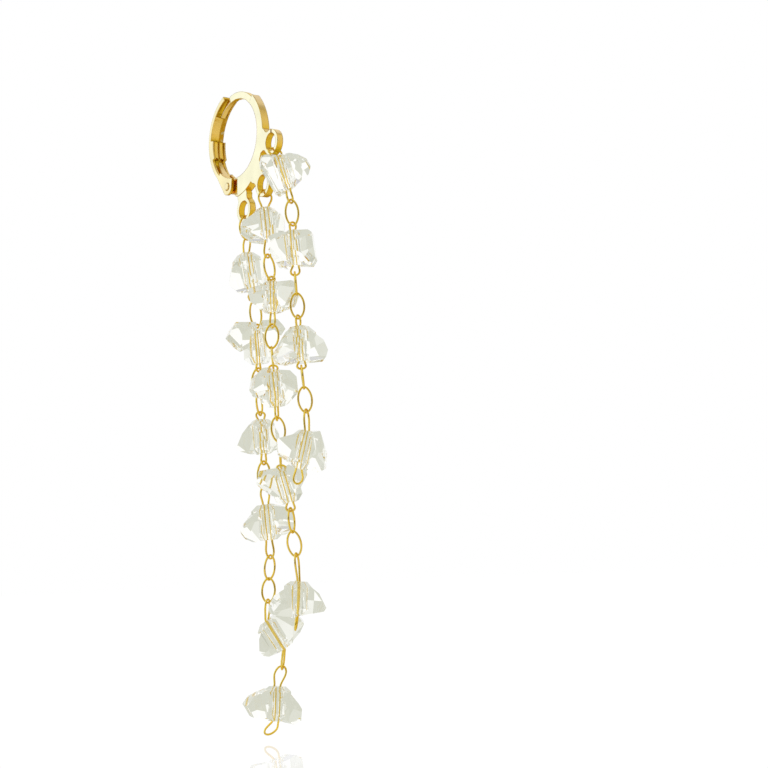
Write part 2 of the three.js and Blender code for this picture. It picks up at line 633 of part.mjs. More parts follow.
// The nodes of one strand: plain links in a row are joined into one stretch, and each crystal
// and each bead link is a node of its own.
function strandNodes(strand, rows, ring, seed) {
  const nodes = [];
  let stretch = [];
  let stretchNumber = 0;
  linkEnds(rows, ring).forEach(({ row, top, bottom }, index) => {
    if (row.crystal) {
      const name = `${strand}_${row.crystal}`;
      nodes.push(nodeMesh(`bead_link_${name}`, geometryOf(beadLink(top, bottom, row)), wireGold()));
      nodes.push(nodeMesh(`crystal_${name}`, geometryOf(crystal(row, seed + row.crystal)), quartz()));
      return;
    }
    stretch.push(plainLink(top, bottom, row));
    const below = rows[index + 1];
    if (!below || below.crystal) {
      stretchNumber += 1;
      nodes.push(nodeMesh(`links_${strand}_${stretchNumber}`, geometryOf(joined(stretch)), wireGold()));
      stretch = [];
    }
  });
  return nodes;
}

// ---------------------------------------------------------------- assembly

const earring = new THREE.Group();
earring.add(hoopFrame(), lever(), hingePin());
RINGS.forEach((ring, index) => {
  earring.add(...strandNodes(ring.strand, STRANDS[ring.strand], ring, FACET_SHIFT * index));
});

export default earring;
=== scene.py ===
"""Gold hoop earring with three strands of drilled quartz chips, hanging over a pale floor.

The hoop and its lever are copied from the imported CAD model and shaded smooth, and the rivet is
built over the CAD pin. The wire links and the crystals follow the same rows as the CAD strands,
with round wires and with planar crystal facets. Tables are in millimetres and degrees, in the
shared frame.
"""
import math
import random

import bmesh
import bpy
from mathutils import Matrix, Vector


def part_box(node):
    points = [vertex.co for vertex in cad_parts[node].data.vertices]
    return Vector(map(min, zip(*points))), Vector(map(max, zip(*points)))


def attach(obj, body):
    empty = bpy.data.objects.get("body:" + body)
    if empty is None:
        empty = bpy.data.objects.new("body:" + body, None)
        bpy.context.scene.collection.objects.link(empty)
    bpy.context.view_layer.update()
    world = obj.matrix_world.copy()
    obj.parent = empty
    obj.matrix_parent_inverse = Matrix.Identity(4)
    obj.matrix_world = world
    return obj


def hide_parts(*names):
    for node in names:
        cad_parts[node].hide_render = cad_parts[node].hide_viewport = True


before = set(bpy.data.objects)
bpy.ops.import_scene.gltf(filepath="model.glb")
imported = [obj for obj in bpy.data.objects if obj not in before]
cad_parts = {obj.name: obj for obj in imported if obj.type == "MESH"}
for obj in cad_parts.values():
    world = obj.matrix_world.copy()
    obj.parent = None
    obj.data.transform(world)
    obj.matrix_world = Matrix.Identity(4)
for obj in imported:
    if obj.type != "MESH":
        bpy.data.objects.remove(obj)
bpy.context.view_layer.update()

MM = 0.001

# ------------------------------------------------------------------ measures, as the CAD has them

OPENING_RADIUS = 4.9
RING_HOLE_RADIUS = 1.1
RINGS = {"front": (7.92, -0.1, -2.32), "middle": (5.83, -0.1, -6.96), "back": (1.34, -0.06, -9.21)}

WIRE = 0.25
LINK_WIDTH = 1.85
LINK_END_POWER = 0.6
LOOP_ROUND_SHARE = 0.4
THREAD_SPACING = 0.72
LINK_GAP = 0.16
RING_GAP = 0.26
STRETCH_OVERLAP = 0.03
HOLE_RADIUS = 0.62

# Each strand from its ring down. x, y, z is the joint at a link's lower end, and turn is the
# direction in which the link is wide. A row without a crystal is a plain link. A row with one is
# a long bead link, with its turn at the lower end in turn_end, and with the widths of its loops in
# top and tip. The crystal's centre is cx, cy, cz, and face, lean and out turn its long axis and
# hole. Its ends reach left and right, height is its hole's length, and depth its thickness.
STRANDS = {
    "front": [
        dict(crystal=1, x=10.0, y=0.8, z=-14.7, turn=90, turn_end=110, top=2.1, tip=1.3,
             cx=9.15, cy=0.3, cz=-11.2, lean=14, out=12, face=76,
             left=2.6, right=3.3, height=4.0, depth=3.4),
        dict(x=10.0, y=1.0, z=-17.4, turn=36),
        dict(crystal=2, x=9.9, y=1.1, z=-23.3, turn=105, turn_end=66, top=1.3, tip=1.3,
             cx=9.95, cy=1.1, cz=-20.3, lean=4, out=0, face=52,
             left=2.8, right=2.7, height=4.1, depth=3.8),
        dict(x=9.9, y=1.3, z=-25.7, turn=149),
        dict(x=9.9, y=1.4, z=-28.4, turn=59),
        dict(crystal=3, x=9.8, y=1.7, z=-34.3, turn=122, turn_end=66, top=1.3, tip=1.3,
             cx=9.85, cy=1.6, cz=-31.6, lean=4, out=0, face=66,
             left=3.2, right=3.2, height=4.1, depth=4.2),
        dict(x=9.8, y=2.0, z=-36.7, turn=149),
        dict(x=9.8, y=2.2, z=-39.4, turn=56),
        dict(crystal=4, x=9.7, y=0.8, z=-47.9, turn=122, turn_end=65, top=1.3, tip=1.35,
             cx=9.8, cy=1.6, cz=-44.0, lean=-14, out=0, face=55,
             left=3.0, right=2.7, height=4.5, depth=4.0),
    ],
    "middle": [
        dict(crystal=1, x=6.0, y=-0.1, z=-20.6, turn=94, turn_end=20, top=2.0, tip=1.3,
             cx=5.9, cy=-0.1, cz=-16.8, lean=4, out=0, face=63,
             left=3.0, right=2.2, height=3.9, depth=4.0),
        dict(x=6.1, y=0.2, z=-23.3, turn=98),
        dict(crystal=2, x=6.1, y=0.2, z=-29.0, turn=20, turn_end=0, top=1.3, tip=1.3,
             cx=6.1, cy=0.3, cz=-25.6, lean=0, out=0, face=48,
             left=2.9, right=3.0, height=3.6, depth=4.1),
        dict(x=6.1, y=0.0, z=-31.6, turn=70),
        dict(x=6.1, y=0.2, z=-33.9, turn=149),
        dict(crystal=3, x=6.1, y=0.5, z=-40.0, turn=66, turn_end=136, top=1.3, tip=1.3,
             cx=6.1, cy=0.3, cz=-36.6, lean=4, out=0, face=68,
             left=2.7, right=2.5, height=4.0, depth=3.8),
        dict(x=6.2, y=0.7, z=-42.7, turn=56),
        dict(x=6.2, y=0.8, z=-45.7, turn=145),
        dict(crystal=4, x=6.3, y=1.9, z=-50.7, turn=58, turn_end=46, top=1.3, tip=1.3,
             cx=6.25, cy=1.4, cz=-48.1, lean=14, out=0, face=54,
             left=3.4, right=2.5, height=3.7, depth=4.0),
        dict(x=6.3, y=2.1, z=-53.3, turn=122),
        dict(x=6.3, y=2.5, z=-56.0, turn=50),
        dict(crystal=5, x=6.3, y=2.1, z=-64.7, turn=120, turn_end=140, top=1.3, tip=1.3,
             cx=6.3, cy=2.6, cz=-61.0, lean=-4, out=0, face=64,
             left=3.1, right=3.6, height=3.8, depth=4.2),
    ],
    "back": [
        dict(x=1.5, y=-0.15, z=-17.6, turn=90, width=2.3),
        dict(crystal=1, x=1.8, y=0.4, z=-25.4, turn=10, turn_end=100, top=1.3, tip=1.3,
             cx=1.7, cy=-0.1, cz=-21.8, lean=8, out=0, face=56,
             left=2.4, right=2.2, height=4.5, depth=3.8),
        dict(x=1.9, y=0.7, z=-28.4, turn=25),
        dict(crystal=2, x=1.9, y=0.7, z=-33.7, turn=100, turn_end=119, top=1.3, tip=1.3,
             cx=1.9, cy=0.6, cz=-31.0, lean=3, out=0, face=66,
             left=3.3, right=3.2, height=4.0, depth=4.0),
        dict(x=1.9, y=0.6, z=-36.4, turn=40),
        dict(x=1.9, y=0.8, z=-39.0, turn=124),
        dict(crystal=3, x=1.9, y=1.1, z=-44.9, turn=50, turn_end=120, top=1.3, tip=1.3,
             cx=1.9, cy=1.0, cz=-41.8, lean=3, out=0, face=50,
             left=2.8, right=2.2, height=4.1, depth=3.9),
        dict(x=1.9, y=1.1, z=-47.9, turn=40),
        dict(crystal=4, x=1.9, y=1.7, z=-56.1, turn=110, turn_end=20, top=1.6, tip=1.3,
             cx=1.9, cy=1.4, cz=-52.0, lean=4, out=0, face=62,
             left=3.3, right=3.3, height=4.2, depth=4.1),
        dict(x=1.9, y=1.4, z=-58.7, turn=100),
        dict(x=1.9, y=1.2, z=-61.3, turn=40),
        dict(crystal=5, x=1.9, y=2.9, z=-69.2, turn=115, turn_end=135, top=1.3, tip=1.3,
             cx=1.9, cy=2.1, cz=-65.3, lean=30, out=0, face=57,
             left=2.3, right=3.7, height=3.9, depth=3.9),
        dict(crystal=6, x=1.9, y=0.7, z=-76.8, turn=50, turn_end=59, top=1.6, tip=1.6,
             cx=1.9, cy=2.0, cz=-73.3, lean=-4, out=0, face=68,
             left=3.4, right=3.4, height=4.0, depth=4.2),
    ],
}

# The two ends of each crystal: the left and the right outline seen square to its long axis, as
# points (along, up) from its centre, going round. The ends run into the block round the hole.
ENDS = {
    "front": {
        1: ([(-2.6, 0.8), (-2.6, 1.7), (-2.2, 2.0), (-0.4, 2.0), (0.8, -2.0), (-0.4, -2.8),
             (-0.9, -2.6)],
            [(0.2, 2.0), (2.0, 2.0), (2.8, 1.6), (3.3, 0.5), (3.1, -0.1), (1.5, -1.5),
             (0.6, -0.9)]),
        2: ([(-2.9, -0.3), (-2.7, 1.3), (-1.9, 1.8), (0, 1.9), (0, -1.9), (-2.0, -1.9)],
            [(0, 2.0), (1.8, 2.0), (2.2, 1.7), (2.6, -1.4), (2.1, -2.2), (0, -2.1)]),
        3: ([(-3.0, -1.4), (-1.3, 1.7), (0, 1.9), (0, -1.9), (-2.0, -2.4), (-2.8, -2.2)],
            [(0, 1.9), (1.1, 1.6), (2.7, 0.5), (3.2, -0.7), (2.8, -1.8), (0, -2.1)]),
        4: ([(-3.0, 0.9), (-2.7, 1.5), (0, 2.1), (0, -1.7), (-1.1, -1.4), (-2.9, -0.4)],
            [(0, 2.0), (1.6, 2.2), (2.2, 1.8), (2.7, -0.3), (2.5, -2.3), (1.8, -2.6), (0, -2.0)]),
    },
    "middle": {
        1: ([(-3.1, -0.9), (-2.8, 0.4), (-1.2, 1.4), (0, 1.6), (0, -2.0), (-1.8, -2.0)],
            [(0, 1.8), (1.4, 1.4), (2.2, 0.3), (2.1, -1.2), (1.2, -1.8), (0, -1.8)]),
        2: ([(-2.8, 0.4), (-2.5, 1.1), (0, 1.7), (0, -1.6), (-1.2, -1.5), (-2.5, -0.5)],
            [(0, 1.7), (1.4, 1.8), (2.7, 1.5), (3.0, 0.8), (1.9, -1.1), (0, -1.6)]),
        3: ([(-2.8, 0), (-2.5, 1.5), (-1.8, 2.2), (0, 2.2), (0, -1.4), (-2.3, -0.9)],
            [(0, 2.4), (1.8, 2.3), (2.4, 1.7), (2.4, -0.3), (1.4, -1.7), (0, -1.5)]),
        4: ([(-3.4, 0.6), (-3.2, 1.8), (-2.8, 2.1), (0, 2.5), (0.4, -1.6), (-1.4, -1.1)],
            [(0, 2.2), (1.3, 2.7), (2.5, 2.6), (2.5, 1.6), (0.7, -1.7), (0, -1.6)]),
        5: ([(-3.4, -0.8), (-2.7, 0.4), (0, 1.9), (0, -1.9), (-1.2, -2.2), (-3.1, -1.8)],
            [(0, 1.9), (1.2, 1.4), (2.6, 0.2), (3.2, -1.1), (2.9, -1.6), (0, -2.0)]),
    },
    "back": {
        1: ([(-2.4, -0.9), (-2.2, 0.2), (-0.7, 1.7), (0, 1.8), (0, -2.2), (-1.5, -2.4),
             (-2.3, -1.7)],
            [(0, 2.0), (1.6, 1.3), (2.0, 0.2), (1.9, -1.5), (1.4, -2.5), (0, -2.3)]),
        2: ([(-3.5, 1.4), (-3.0, 2.5), (-2.2, 2.8), (-0.6, 2.8), (0, 0.2), (-1.8, -0.4)],
            [(0, 1.6), (0.5, 2.8), (2.2, 3.0), (3.2, 1.9), (2.2, 0.4), (0, -0.6)]),
        3: ([(-2.9, -1.2), (-2.3, 0.3), (-1.4, 1.4), (0, 1.6), (0, -1.7), (-2.2, -1.8)],
            [(0, 1.9), (1.4, 1.4), (2.0, 0.4), (2.1, -1.0), (1.3, -1.7), (0, -1.8)]),
        4: ([(-3.2, -1.1), (-2.2, 0.7), (-1.2, 1.5), (0, 1.6), (0, -1.9), (-1.6, -2.3),
             (-2.7, -1.8)],
            [(0, 2.2), (1.5, 2.0), (2.8, 1.3), (3.2, -0.3), (2.5, -1.3), (0, -1.7)]),
        5: ([(-1.9, -0.5), (-1.2, 1.3), (-0.6, 1.6), (1.0, -1.6), (-0.4, -2.4), (-1.4, -2.3),
             (-1.9, -1.8)],
            [(-0.7, 2.0), (0.6, 2.6), (2.9, 2.1), (3.4, 1.4), (3.1, 0.5), (1.3, -1.4)]),
        6: ([(-3.8, 0), (-3.0, 1.0), (-1.2, 1.7), (0, 1.8), (0, -1.8), (-3.0, -1.4)],
            [(0, 1.8), (1.3, 1.4), (2.2, 0.4), (3.0, -0.9), (2.9, -1.8), (1.4, -2.4), (0, -1.8)]),
    },
}

# ------------------------------------------------------------------ how the crystals are cut

# The seed of each crystal's facets, from the strand's top down.
FACET_DRAWS = {
    "front": [41, 22, 83, 84],
    "middle": [45, 86, 27, 48, 89],
    "back": [70, 51, 92, 33, 94, 55],
}

# The block round the hole: its upright walls, and the dome of facets over each of its ends.
CORE_SIDES = 6
CORE_SIDE_SHIFT = 0.15
CORE_HALF_WIDTH = 1.35
CORE_DEPTH_SHARE = 0.92
CORE_WALL_TILT = 0.05
DOME_SLOPES = (38, 52)
DOME_FOOT_SHARE = 0.72
DOME_HEIGHT_SHARE = 0.9

# The two ends: the walls along their outline, the facets beside these, and the broad flat sides.
END_WALL_LEAN = 10
CROWN_SHARE = 0.45
CROWN_SLOPES = (18, 40)
CROWN_FEET = (0.35, 0.6)
FLANK_DEPTH_SHARE = 0.92
FLANK_TILT = 0.3

# The uncut block and the drill, as multiples of the longer end and of the hole's length.
UNCUT_SIZE = 4
DRILL_LENGTH = 3
CUT_TOLERANCE = 1e-5

# ------------------------------------------------------------------ mesh detail

WELD_DISTANCE = 0.002
FLAT_ANGLE = 0.5
COPY_SHARP_ANGLE = 28
RIVET_HEAD = 0.52
RIVET_RISE = 0.09
RIVET_STANDS = 0.07
RIVET_STEPS = 5
RIVET_SIDES = 28
RIVET_SHARP_ANGLE = 40
WIRE_SIDES = 10
PLAIN_LINK_STEPS = 44
BEAD_LINK_STEPS = 76
HOLE_SIDES = 28

# ------------------------------------------------------------------ camera, floor and lamp

CAMERA_PLACE = (168.0, -101.4, -58.1)
CAMERA_AZIMUTH = 54
CAMERA_ELEVATION = -6.5
CAMERA_ROLL = -2
CAMERA_LENS = 76.4
CAMERA_CLIP = (10, 10000)
SENSOR_WIDTH = 36

FLOOR_Z = -77.5
FLOOR_SIZE = 4000
TOP_LIGHT = dict(place=(60, -60, 300), target=(0, 0, -40), width=300, power=0.08)
LIGHT_BOUNCES = 32

# ------------------------------------------------------------------ looks

# The golds: their colours and their roughness, on flat faces and on sides, the size and depth of
# their grain, and whether only a piece's own shape counts when the painted shade finds its
# cavities.
# The paler face colour is a painted highlight on the flat faces across the hoop; the side colour is
# the deeper gold.
GOLDS = {
    "body_gold": dict(face=(1.0, 0.79, 0.42), side=(1.0, 0.69, 0.18), face_rough=0.08,
                      side_rough=0.24, grain_size=0.12, grain_depth=0.01, own_cavities=False),
    "lever_gold": dict(face=(0.99, 0.72, 0.31), side=(1.0, 0.69, 0.18), face_rough=0.08,
                       side_rough=0.24, grain_size=0.12, grain_depth=0.01, own_cavities=False),
    "wire_gold": dict(face=(1.0, 0.8, 0.22), side=(1.0, 0.7, 0.08), face_rough=0.07,
                      side_rough=0.1, grain_size=0.05, grain_depth=0.004, own_cavities=True),
}

# How squarely a spot looks across the hoop, from where it is side to where it is flat face.
FACE_SQUARENESS = (0.5, 0.95)

# The gold's drift of tone and its grain: the stretch of the noise that is used, and its effect.
NOISE_MIDDLE = (0.3, 0.7)
DRIFT_SIZE = 2.5
DRIFT_DETAIL = 3.0
DRIFT_TONES = (0.88, 1.0)
GRAIN_DETAIL = 4.0
GRAIN_DULLING = (0.8, 1.3)
GRAIN_BUMP = 0.3

# The gold's edges: how far they are softened, the darker gold painted along them as painted shade,
# and how much the softening bends where that painted shade begins and where it has its full colour.
EDGE_SOFTNESS = 0.16
EDGE_SHADE_GOLD = (0.7, 0.48, 0.12)
EDGE_BENDS = (0.985, 0.92)
SHADE_SAMPLES = 8

# How far round a spot its surroundings count as a cavity, and the painted shade: the gold's darker,
# deeper tint by how open it is, on its sides.
CAVITY_REACH = 2.2
CAVITY_SHADE_TINTS = [(0.15, (0.9, 0.96, 0.13)), (0.3, (0.7, 0.64, 0.08)), (0.6, (0.84, 0.77, 0.11)),
                (0.7, (1.0, 0.87, 0.12)), (0.88, (1.0, 0.96, 0.45)), (0.95, (1.0, 1.0, 1.0))]

# The quartz: its tint between clear and smoky, and its veils, by size and noise detail, with the
# stretch of the noise where they lie and the roughness that they give.
QUARTZ_CLEAR = (0.99, 0.99, 0.98)
QUARTZ_SMOKE = (0.965, 0.965, 0.935)
QUARTZ_CLARITY = 1.0
QUARTZ_IOR = 1.45
SMOKE_SIZE = 4
SMOKE_DETAIL = 1.0
VEIL_SIZE = 1.6
VEIL_DETAIL = 5.0
VEIL_NOISE = (0.6, 0.8)
VEIL_ROUGHNESS = (0.0, 0.05)

# The studio as the metal mirrors it, and as the stones show it: the grain of its patches, their
# tones, and its cards with direction, inner and outer angle, and colour.
GOLD_WALLS = {
    "scale": 1.3,
    "tones": [(0.42, (0.16, 0.14, 0.1)), (0.52, (0.66, 0.65, 0.6)), (0.64, (0.9, 0.9, 0.85))],
    "cards": [
        ((-0.85, -0.53, 0.26), 26, 40, (1.04, 1.27, 1.67)),
        ((0.85, 0.53, 0.26), 22, 45, (0.77, 0.755, 0.75)),
        ((-0.8, 0.585, 0.06), 19, 24, (1.05, 1.05, 1.05)),
        ((-0.11, 0.49, 0.87), 12, 24, (0.78, 0.86, 1.5)),
        ((0.1, 0.97, -0.1), 20, 30, (0.42, 0.29, 0.005)),
    ],
}
QUARTZ_WALLS = {
    "scale": 1.2,
    "tones": [(0.40, (0.54, 0.55, 0.46)), (0.43, (0.61, 0.62, 0.535)),
              (0.49, (0.76, 0.77, 0.69)), (0.56, (1.08, 1.08, 1.06))],
    "cards": [
        ((-0.8, 0.585, 0.1), 7, 16, (0.70, 0.71, 0.615)),
        ((0.8, -0.585, 0.1), 30, 50, (0.95, 0.96, 0.91)),
        ((0.1, -0.8, -0.45), 14, 20, (0.60, 0.60, 0.655)),
        ((-0.45, 0.3, 0.85), 14, 20, (0.60, 0.60, 0.655)),
    ],
}

# Which slice of the noise gives the patches of both.
WALL_PATTERN = 0.0

# Rays up to this depth see the studio as plain white: the camera's, and those that the floor
# mirrors.
WHITE_DEPTH = 2.5
WHITE = (1.0, 1.0, 1.0)

# The floor's glow, and its mirror image's share of it. Metal mirrors it near the earring and far
# behind it in two tones, which meet from one place to the other along the direction.
FLOOR_GLOW = 1.22
FLOOR_GLOSS = 0.45
FLOOR_ROUGHNESS = 0
FLOOR_IN_METAL = {
    "direction": (-0.57, 0.82, 0),
    "from": 36,
    "to": 104,
    "near": (0.78, 0.76, 0.72),
    "far": (0.42, 0.29, 0.005),
}
FLOOR_IN_QUARTZ = (0.67, 0.68, 0.59)


def make_camera():
    azimuth = math.radians(CAMERA_AZIMUTH)
    elevation = math.radians(CAMERA_ELEVATION)
    roll = math.radians(CAMERA_ROLL)
    back = Vector((math.sin(azimuth) * math.cos(elevation),
                   -math.cos(azimuth) * math.cos(elevation), math.sin(elevation)))
    level = Vector((math.cos(azimuth), math.sin(azimuth), 0))
    rise = back.cross(level)
    right = level * math.cos(roll) + rise * math.sin(roll)
    up = rise * math.cos(roll) - level * math.sin(roll)
    data = bpy.data.cameras.new("camera")
    data.lens = CAMERA_LENS
    data.sensor_width = SENSOR_WIDTH
    data.clip_start, data.clip_end = (distance * MM for distance in CAMERA_CLIP)
    camera = bpy.data.objects.new("camera", data)
    turn = Matrix((right, up, back)).transposed().to_4x4()
    camera.matrix_world = Matrix.Translation(Vector(CAMERA_PLACE) * MM) @ turn
    bpy.context.scene.collection.objects.link(camera)
    bpy.context.scene.camera = camera


# ------------------------------------------------------------------ materials


class Nodes:
    """A short way to write a node tree. A value is a number or colour, or an output to link."""

    def __init__(self, tree):
        self.tree = tree
        tree.nodes.clear()

    def fill(self, socket, value):
        if isinstance(value, bpy.types.NodeSocket):
            self.tree.links.new(value, socket)
        elif socket.type == "RGBA":
            socket.default_value = (*value, 1)
        else:
            socket.default_value = value

    def add(self, kind, **values):
        """A new node, with the values of its settings and of its sockets."""
        node = self.tree.nodes.new(kind)
        for key, value in values.items():
            if hasattr(node, key):
                setattr(node, key, value)
            else:
                self.fill(node.inputs[key.replace("_", " ")], value)
        return node

    def calculate(self, kind, operation, *operands, **settings):
        node = self.add(kind, operation=operation, **settings)
        for socket, operand in zip(node.inputs, operands):
            self.fill(socket, operand)
        return node.outputs["Value"]

    def mix(self, factor, first, second, **settings):
        node = self.add("ShaderNodeMix", data_type="RGBA", **settings,
                        Factor=factor, A=first, B=second)
        return node.outputs["Result"]

    def spread(self, value, span, onto=(0, 1), **settings):
        """The value, carried over from its span onto another one, and held at both ends."""
        node = self.add("ShaderNodeMapRange", **settings, Value=value, From_Min=span[0],
                        From_Max=span[1], To_Min=onto[0], To_Max=onto[1])
        return node.outputs["Result"]

    def noise(self, place, size, detail):
        node = self.add("ShaderNodeTexNoise", Vector=place, Scale=1 / (size * MM), Detail=detail)
        return node.outputs["Fac"]

    def ramp(self, value, tones):
        node = self.add("ShaderNodeValToRGB", Fac=value)
        stops = node.color_ramp.elements
        for index, (position, tone) in enumerate(tones):
            stop = stops[index] if index < 2 else stops.new(position)
            stop.position = position
            stop.color = (*tone, 1)
        return node.outputs["Color"]


def new_material(name):
    material = bpy.data.materials.new(name)
    material.use_nodes = True
    return material, Nodes(material.node_tree)


def gold_material(name):
    """Gold that is polished on its flat faces across the hoop and more satin on its sides. A paler
    colour painted on the faces is a painted highlight, and the sides have a deeper one; painted
    shade makes it darker still along its edges and in its cavities. Its tone drifts a little, and
    fine grain breaks up its shine."""
    gold = GOLDS[name]
    material, nodes = new_material(name)
    place = nodes.add("ShaderNodeTexCoord")
    drift = nodes.noise(place.outputs["Object"], DRIFT_SIZE, DRIFT_DETAIL)
    grain = nodes.noise(place.outputs["Object"], gold["grain_size"], GRAIN_DETAIL)

    parts = nodes.add("ShaderNodeSeparateXYZ", Vector=place.outputs["Normal"])
    across = nodes.calculate("ShaderNodeMath", "ABSOLUTE", parts.outputs["Y"])
    faced = nodes.spread(across, FACE_SQUARENESS, interpolation_type="SMOOTHSTEP")
    worn = nodes.spread(drift, NOISE_MIDDLE, DRIFT_TONES)
    # painted highlight: the paler face colour where a spot faces squarely across the hoop, the
    # deeper side colour elsewhere, then the random drift of tone
    tone = nodes.mix(1.0, nodes.mix(faced, gold["side"], gold["face"]), worn, blend_type="MULTIPLY")

    rounded = nodes.add("ShaderNodeBevel", samples=SHADE_SAMPLES, Radius=EDGE_SOFTNESS * MM)
    surface = nodes.add("ShaderNodeNewGeometry")
    # painted shade: a darker gold along every edge, where the rounded normal bends away from the
    # true one
    bend = nodes.calculate("ShaderNodeVectorMath", "DOT_PRODUCT", rounded.outputs["Normal"],
                           surface.outputs["True Normal"])
    tone = nodes.mix(nodes.spread(bend, EDGE_BENDS), tone, EDGE_SHADE_GOLD)

    # painted shade: the gold darkened and deepened on its sides where ambient occlusion finds it
    # enclosed
    cavity = nodes.add("ShaderNodeAmbientOcclusion", samples=SHADE_SAMPLES,
                       only_local=gold["own_cavities"], Distance=CAVITY_REACH * MM)
    sided = nodes.calculate("ShaderNodeMath", "SUBTRACT", 1.0, faced)
    tone = nodes.mix(sided, tone, nodes.ramp(cavity.outputs["AO"], CAVITY_SHADE_TINTS),
                     blend_type="MULTIPLY")

    satin = nodes.spread(faced, (0, 1), (gold["side_rough"], gold["face_rough"]))
    dulled = nodes.spread(grain, NOISE_MIDDLE, GRAIN_DULLING)
    rough = nodes.calculate("ShaderNodeMath", "MULTIPLY", satin, dulled)
    bump = nodes.add("ShaderNodeBump", Strength=GRAIN_BUMP, Distance=gold["grain_depth"] * MM,
                     Height=grain, Normal=rounded.outputs["Normal"])
    shader = nodes.add("ShaderNodeBsdfPrincipled", Metallic=1.0, Base_Color=tone, Roughness=rough,
                       Normal=bump.outputs["Normal"])
    nodes.add("ShaderNodeOutputMaterial", Surface=shader.outputs["BSDF"])
    return material


def quartz_material():
    """Clear quartz with a faint smoky tint that drifts, and faint veils that dull it in places."""
    material, nodes = new_material("quartz")
    place = nodes.add("ShaderNodeTexCoord")
    smoke = nodes.noise(place.outputs["Object"], SMOKE_SIZE, SMOKE_DETAIL)
    veil = nodes.noise(place.outputs["Object"], VEIL_SIZE, VEIL_DETAIL)
    shader = nodes.add("ShaderNodeBsdfPrincipled", Transmission_Weight=QUARTZ_CLARITY,
                       IOR=QUARTZ_IOR, Base_Color=nodes.mix(smoke, QUARTZ_CLEAR, QUARTZ_SMOKE),
                       Roughness=nodes.spread(veil, VEIL_NOISE, VEIL_ROUGHNESS))
    nodes.add("ShaderNodeOutputMaterial", Surface=shader.outputs["BSDF"])
    return material


def satin_reflection(nodes, light_path):
    """1 for rays that a metal's satin surface sent out, and 0 for a stone's sharp ones."""
    return nodes.calculate("ShaderNodeMath", "SUBTRACT", light_path.outputs["Is Reflection Ray"],
                           light_path.outputs["Is Singular Ray"], use_clamp=True)


def floor_material():
    """A white floor that glows as a lit studio floor does, with a faint mirror image in it."""
    material, nodes = new_material("floor_white")
    light_path = nodes.add("ShaderNodeLightPath")
    seen = light_path.outputs["Is Camera Ray"]
    place = nodes.add("ShaderNodeNewGeometry")
    along = nodes.calculate("ShaderNodeVectorMath", "DOT_PRODUCT", place.outputs["Position"],
                            FLOOR_IN_METAL["direction"])
    fade = nodes.spread(along, (FLOOR_IN_METAL["from"] * MM, FLOOR_IN_METAL["to"] * MM),
                        interpolation_type="SMOOTHSTEP")
    in_metal = nodes.mix(fade, FLOOR_IN_METAL["near"], FLOOR_IN_METAL["far"])
    mirrored = nodes.mix(satin_reflection(nodes, light_path), FLOOR_IN_QUARTZ, in_metal)
    tone = nodes.mix(seen, mirrored, (FLOOR_GLOW, FLOOR_GLOW, FLOOR_GLOW))
    glow = nodes.add("ShaderNodeEmission", Color=tone)
    gloss = nodes.add("ShaderNodeBsdfGlossy", Roughness=FLOOR_ROUGHNESS)
    floor = nodes.add("ShaderNodeMixShader")
    share = nodes.calculate("ShaderNodeMath", "MULTIPLY", seen, FLOOR_GLOSS)
    parts = (share, glow.outputs["Emission"], gloss.outputs["BSDF"])
    for socket, part in zip(floor.inputs, parts):
        nodes.fill(socket, part)
    nodes.add("ShaderNodeOutputMaterial", Surface=floor.outputs["Shader"])
    return material


# ------------------------------------------------------------------ meshes


def new_object(name, mesh, material):
    mesh.materials.clear()
    mesh.materials.append(material)
    piece = bpy.data.objects.new(name, mesh)
    bpy.context.scene.collection.objects.link(piece)
    return piece


def place_piece(piece, body, slot, *nodes):
    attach(piece, body)
    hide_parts(*nodes)


def shade_smooth(mesh):
    mesh.polygons.foreach_set("use_smooth", [True] * len(mesh.polygons))


def faces_between(this_ring, next_ring, sides):
    """The faces between two rings of vertices, each ring given by the number of its first one."""
    for side in range(sides):
        after = (side + 1) % sides
        yield this_ring + side, this_ring + after, next_ring + after, next_ring + side


def smooth_copy(name, node, material):
    """A copy of a CAD node whose curved stretches are shaded smooth."""
    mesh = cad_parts[node].data.copy()
    work = bmesh.new()
    work.from_mesh(mesh)
    bmesh.ops.remove_doubles(work, verts=work.verts, dist=WELD_DISTANCE * MM)
    bmesh.ops.dissolve_limit(work, angle_limit=math.radians(FLAT_ANGLE), verts=work.verts,
                             edges=work.edges)
    work.to_mesh(mesh)
    work.free()
    shade_smooth(mesh)
    mesh.set_sharp_from_angle(angle=math.radians(COPY_SHARP_ANGLE))
    piece = new_object(name, mesh, material)
    weights = piece.modifiers.new("weights", "WEIGHTED_NORMAL")
    weights.keep_sharp = True
    return piece


